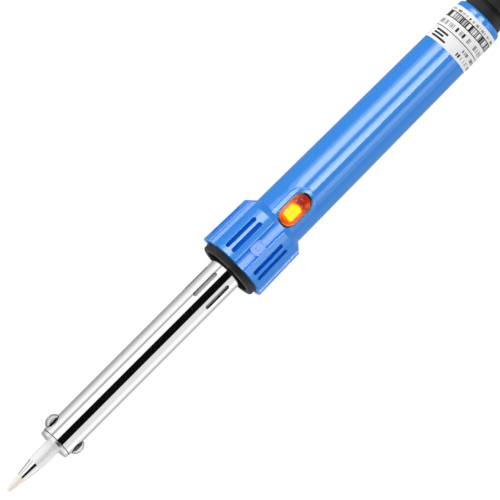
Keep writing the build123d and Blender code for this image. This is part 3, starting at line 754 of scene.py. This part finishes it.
    def pip_feet(self, finish):
        """1 in a ring round the foot of each pip, where painted shade goes."""
        foot = 1.0
        for spot in self.spots():
            foot = finish.apart(spot).smaller(foot)
        return foot.within(self.sizes.pip_radius * 0.75, self.sizes.pip_radius * 1.25)

    def lamp(self):
        """The lit bulb and its electrodes."""
        glass = Finish("bulb_glass", {"Emission Strength": 3.0})
        haze = glass.noise(glass.place(), 400.0, 2.0)
        glass.put(
            {
                "Base Color": glass.mix(haze, (0.60, 0.50, 0.42), (0.50, 0.40, 0.34)),
                "Roughness": 0.08 + 0.1 * haze,
                "Emission Color": glass.mix(haze, (0.50, 0.12, 0.02), (0.65, 0.20, 0.03)),
            }
        )
        dress(glass, "neon_bulb")
        dress(steel("electrode_nickel", (0.66, 0.60, 0.52), 0.3), "neon_electrodes")


# ------------------------------------------------------------------ rating label
# Rows of bars that stand for print: from and to along the iron, the pitch of the blocks, the width
# of a bar, the share of bars left out, and a seed. All lengths on the label are in millimetres.
REVERSED_ROW = ((10.95, 13.25), 2.3, 0.24, 0.42, 3.0)
FULL_ROWS = (((7.3, 9.2), 1.5, 0.27, 0.45, 11.0), ((14.1, 15.0), 0.8, 0.16, 0.40, 17.0))
SIDE_ROWS = (((1.1, 2.6), 1.2, 0.22, 0.42, 23.0), ((3.5, 4.9), 1.3, 0.20, 0.40, 29.0))
SIDE_START = 1.5
RULE = (5.9, 6.2)
BLACK_BAND = (10.6, 13.6)
# Three plain strokes: from and to along the iron, and how far each reaches round it.
STROKES = ((1.2, 2.0, -4.4), (2.6, 3.4, -6.6), (4.0, 4.8, -5.4))
STROKES_START = -12.0
BLOCK_FILL = 0.85  # the printed share of a block
WORD_BLOCKS = 4.0  # how many blocks a word and its gap take up
SHORTEST_WORD = 0.70  # as a share of them
WORD_SPREAD = 0.28
INK = (0.010, 0.010, 0.011)


class IRON_OT_label(IronOperator):
    """Prints the rating label with plain bars in place of any words"""

    bl_idname = "iron.label"
    bl_label = "Rating Label"

    def execute(self, context):
        finish = Finish("label_film", {"IOR": 1.45})
        x, y, z = finish.axes()
        along = (x - LABEL_LOW.x) * MM_PER_METRE
        around = finish.turned(y, z) * (LABEL_HIGH.z * MM_PER_METRE)
        ink = along.within(*RULE) + along.within(*BLACK_BAND)
        ink = ink - self.print_row(finish, along, around, *REVERSED_ROW)
        for row in FULL_ROWS:
            ink = ink + self.print_row(finish, along, around, *row)
        for row in SIDE_ROWS:
            ink = ink + (around > SIDE_START) * self.print_row(finish, along, around, *row)
        for start, end, reach in STROKES:
            ink = ink + along.within(start, end) * around.within(STROKES_START, reach)
        cloud = finish.noise(finish.place(), 300.0, 3.0)
        paper = finish.mix(cloud, (0.985, 0.985, 0.99), (0.955, 0.955, 0.96))
        finish.put(
            {
                "Base Color": finish.mix(ink.ramp(0.0, 1.0), paper, INK),
                "Roughness": 0.34 + 0.10 * (cloud - 0.5) + 0.1 * ink,
                "Normal": finish.bump(ink + cloud * 0.3, 0.006 * MM),
            }
        )
        dress(finish, "rating_label")
        return {"FINISHED"}

    def print_row(self, finish, along, around, rows, pitch, bar, gap, seed):
        """A row of upright bars in blocks, which stands for a line of small print."""
        block = (around + seed) / pitch
        word = block / WORD_BLOCKS
        filled = finish.chance((around / bar).floor() + seed) > gap
        word_length = SHORTEST_WORD + WORD_SPREAD * finish.chance(word.floor() + seed)
        fits = word.fraction() < word_length
        return along.within(*rows) * (block.fraction() < BLOCK_FILL) * filled * fits


# ------------------------------------------------------------------ parts inside
class IRON_OT_inside(IronOperator):
    """Finishes the heater, wiring, terminal block and clamps inside"""

    bl_idname = "iron.inside"
    bl_label = "Parts Inside"

    def execute(self, context):
        wrap = Finish("glass_wrap", {"Roughness": 0.8})
        weave = wrap.cells(wrap.place(), 1600.0, 0.2)
        wrap.put(
            {
                "Base Color": wrap.mix(weave, (0.92, 0.91, 0.90), (0.98, 0.975, 0.97)),
                "Normal": wrap.bump(weave, 0.05 * MM),
            }
        )
        dress(wrap, "heater_wrap", "lead_sleeves")
        mica = moulding("mica_sheet", (0.55, 0.48, 0.36), 0.35, 0.004 * MM, 0.05 * MM)
        dress(mica, "inner_mica")
        ceramic = moulding("steatite", (0.80, 0.78, 0.73), 0.55, 0.01 * MM, 0.15 * MM)
        dress(ceramic, "ceramic_plug", "terminal_block")
        dress(steel("oxidised_alloy", (0.35, 0.33, 0.31), 0.45), "heater_former", "heater_winding")
        dress(steel("plated_steel", (0.75, 0.75, 0.76), 0.25), "earth_tag", "lock_ring")
        dress(steel("small_screws", (0.75, 0.74, 0.70), 0.22), "terminal_screws", "clamp_screws")
        dress(steel("clamp_brass", (0.80, 0.58, 0.24), 0.25), "terminal_clamps")
        dress(steel("nickel_wire", (0.70, 0.68, 0.64), 0.30), "lead_wires", "lamp_leads")
        earth = moulding("earth_covering", (0.10, 0.42, 0.12), 0.40, 0.004 * MM, 0.05 * MM)
        dress(earth, "earth_wire")
        black = moulding("black_moulding", (0.04, 0.04, 0.04), 0.40, 0.01 * MM, 0.15 * MM)
        dress(black, "lamp_saddle", "cord_clamp")
        resistor = moulding("resistor_lacquer", (0.50, 0.36, 0.20), 0.30, 0.004 * MM, 0.05 * MM)
        dress(resistor, "lamp_resistor")
        return {"FINISHED"}


# ------------------------------------------------------------------ stage
CAMERA_BACK = Vector((-0.139, 0.146, 0.979))
CAMERA_LENS = 1000.0
SENSOR = 36.0
AIM_X = COLLAR_X + 9.0 * MM
AIM_ACROSS = 0.33 * MM  # how far to the -Y side of the iron's axis the camera aims
FAR_CLIP = 50.0


def camera_axes():
    """The camera's right, up and back directions, and the one across the iron, towards -Y."""
    back = CAMERA_BACK.normalized()
    along = Vector((1.0, 0.0, 0.0))
    along = (along - back * along.dot(back)).normalized()
    across = back.cross(along) * -1.0
    right = (along + across).normalized()
    up = (along - across).normalized()
    return right, up, back, across


TABLE_REACH = 20.0
TABLE_GAP = 0.02 * MM
TABLE_GREY = (0.25, 0.25, 0.25, 1.0)
TABLE_GLOW = 0.86

TENT_RADIUS = 0.7
TENT_ENDS = (-1.6, 1.4)
TENT_PANELS = 120
TENT_GLOW = 1.08
# How bright the tent is, by the angle round the iron from straight up towards +Y, in degrees.
TENT_LEVELS = (
    (-180, 0.40),
    (-137, 0.48),
    (-122, 0.50),
    (-115, 0.65),
    (-107, 0.90),
    (-98, 1.00),
    (-78, 1.00),
    (-74, 0.75),
    (-33, 0.75),
    (-31, 0.003),
    (15.5, 0.003),
    (17, 1.00),
    (49, 1.00),
    (54, 0.85),
    (58, 0.44),
    (62, 0.34),
    (68, 0.52),
    (73, 0.82),
    (79, 0.97),
    (92, 0.93),
    (100, 0.81),
    (110, 0.68),
    (121, 0.54),
    (134, 0.42),
    (150, 0.33),
    (180, 0.30),
)

BOX_DISTANCE = 0.6
BOX_LENGTH = 1.6
BOX_MIDDLE = Vector((-0.1, 0.0, 0.0))
# Soft boxes: name, angle as above, width in degrees, brightness, and the piece that reflects it.
SOFT_BOXES = (
    ("rear_wide", 55.5, 42.0, 3.0, "handle_shell"),
    ("rear_core", 50.0, 27.0, 6.0, "handle_shell"),
    ("top_wide", 3.0, 28.0, 8.5, "handle_shell"),
    ("top_core", 2.0, 13.0, 4.0, "handle_shell"),
    ("front_fill", -21.0, 22.0, 1.0, "handle_shell"),
    ("front_wide", -50.5, 39.0, 1.2, "handle_shell"),
    ("front_core", -41.0, 18.0, 2.2, "handle_shell"),
    ("lens_rear", 62.0, 15.0, 26.0, "lamp_lens"),
    ("lens_front", -62.0, 10.0, 9.0, "lamp_lens"),
)


class IRON_OT_stage(IronOperator):
    """Sets up the white floor, the light tent, the soft boxes and the camera"""

    bl_idname = "iron.stage"
    bl_label = "Light Table"

    def execute(self, context):
        self.world()
        self.floor()
        self.tent()
        for box in SOFT_BOXES:
            self.soft_box(*box)
        self.camera()
        context.scene.view_settings.view_transform = "Standard"
        return {"FINISHED"}

    def world(self):
        """White light from all round, dimmer from the -Y side."""
        world = bpy.data.worlds.new("white_room")
        world.use_nodes = True
        room = Shading(world.node_tree, "Background")
        towards = room.node("ShaderNodeTexCoord", {}, {}, "Generated")
        sockets = {
            "Value": room.split(towards)[1],
            "From Min": -1.0,
            "From Max": 0.1,
            "To Min": 0.45,
            "To Max": 1.0,
        }
        room.put({"Color": WHITE, "Strength": room.node("ShaderNodeMapRange", {}, sockets)})
        bpy.context.scene.world = world

    def floor(self):
        """A white light table under the iron."""
        shape = bmesh.new()
        bmesh.ops.create_grid(shape, x_segments=1, y_segments=1, size=TABLE_REACH)
        bmesh.ops.translate(shape, verts=shape.verts, vec=(0.0, 0.0, FLOOR_Z - TABLE_GAP))
        table = Finish(
            "white_table",
            {
                "Base Color": TABLE_GREY,
                "Roughness": 0.9,
                "Emission Color": WHITE,
                "Emission Strength": TABLE_GLOW,
                "Specular IOR Level": 0.0,
            },
        )
        top = new_piece("light_table", shape, table.material)
        top.visible_glossy = False

    def tent(self):
        """A long tunnel round the iron that only shows in reflections, in stripes along it."""
        shape = bmesh.new()
        ends = [shape.verts.new((x, 0.0, -TENT_RADIUS)) for x in TENT_ENDS]
        bmesh.ops.spin(
            shape,
            geom=[*ends, shape.edges.new(ends)],
            cent=(0, 0, 0),
            axis=(1, 0, 0),
            angle=math.tau,
            steps=TENT_PANELS,
            use_merge=True,
        )
        cloth = Finish("tent_cloth", {"Base Color": BLACK, "Specular IOR Level": 0.0})
        y, z = cloth.axes()[1:]
        turn = y.arctan2(z) / math.tau + 0.5
        stops = [(angle / 360 + 0.5, (level, level, level)) for angle, level in TENT_LEVELS]
        cloth.put({"Emission Color": cloth.graded(turn, stops), "Emission Strength": TENT_GLOW})
        cloth.material.cycles.emission_sampling = "NONE"
        tent = new_piece("light_tent", shape, cloth.material)
        tent.visible_camera = False
        tent.visible_diffuse = False
        tent.visible_transmission = False
        tent.visible_shadow = False

    def soft_box(self, name, angle, width, level, receiver):
        """A long soft box beside the iron, which lights only the gloss of one piece."""
        turn = math.radians(angle)
        lamp = bpy.data.lights.new(name, "AREA")
        lamp.shape = "RECTANGLE"
        lamp.size = BOX_LENGTH
        lamp.size_y = 2 * BOX_DISTANCE * math.tan(math.radians(width / 2))
        lamp.energy = level * math.pi * lamp.size * lamp.size_y
        box = bpy.data.objects.new(name, lamp)
        along = Vector((1.0, 0.0, 0.0))
        out = Vector((0.0, math.sin(turn), math.cos(turn)))
        box.location = BOX_MIDDLE + out * BOX_DISTANCE
        box.rotation_euler = Matrix((along, out.cross(along), out)).transposed().to_euler()
        box.visible_camera = False
        box.visible_diffuse = False
        bpy.context.scene.collection.objects.link(box)
        lit = bpy.data.collections.get("lit_" + receiver)
        if lit is None:
            lit = bpy.data.collections.new("lit_" + receiver)
            lit.objects.link(bpy.data.objects[receiver])
        box.light_linking.receiver_collection = lit

    def camera(self):
        """A long lens from above, rolled so that the iron runs from corner to corner."""
        right, up, back, across = camera_axes()
        data = bpy.data.cameras.new("long_lens")
        data.lens = CAMERA_LENS
        data.sensor_width = SENSOR
        data.clip_end = FAR_CLIP
        camera = bpy.data.objects.new("camera", data)
        distance = self.sizes.picture_width * CAMERA_LENS / SENSOR
        aim = Vector((AIM_X, 0.0, 0.0)) + across * AIM_ACROSS
        camera.location = aim + back * distance
        camera.rotation_euler = Matrix((right, up, back)).transposed().to_euler()
        bpy.context.scene.collection.objects.link(camera)
        bpy.context.scene.camera = camera


# ------------------------------------------------------------------ panel and registration
STEPS = (
    IRON_OT_tip,
    IRON_OT_barrel,
    IRON_OT_handle,
    IRON_OT_insulator,
    IRON_OT_boot,
    IRON_OT_lamp,
    IRON_OT_label,
    IRON_OT_inside,
    IRON_OT_stage,
)


class IRON_PT_looks(bpy.types.Panel):
    """Lists the iron's operators and values"""

    bl_label = "Soldering Iron"
    bl_idname = "IRON_PT_looks"
    bl_space_type = "VIEW_3D"
    bl_region_type = "UI"
    bl_category = "Iron"

    def draw(self, context):
        for step in STEPS:
            self.layout.operator(step.bl_idname)
        for group in (context.scene.iron_sizes, context.scene.iron_colours):
            for name in group.__annotations__:
                self.layout.prop(group, name)


CLASSES = (IronSizes, IronColours, *STEPS, IRON_PT_looks)


def register():
    """Registers the classes and the scene's values."""
    for cls in CLASSES:
        bpy.utils.register_class(cls)
    bpy.types.Scene.iron_sizes = bpy.props.PointerProperty(type=IronSizes)
    bpy.types.Scene.iron_colours = bpy.props.PointerProperty(type=IronColours)


def unregister():
    """Takes them away again."""
    del bpy.types.Scene.iron_colours
    del bpy.types.Scene.iron_sizes
    for cls in reversed(CLASSES):
        bpy.utils.unregister_class(cls)


def main():
    """Runs every operator in order."""
    register()
    bpy.ops.iron.tip()
    bpy.ops.iron.barrel()
    bpy.ops.iron.handle()
    bpy.ops.iron.insulator()
    bpy.ops.iron.boot()
    bpy.ops.iron.lamp()
    bpy.ops.iron.label()
    bpy.ops.iron.inside()
    bpy.ops.iron.stage()


if __name__ == "__main__":
    main()
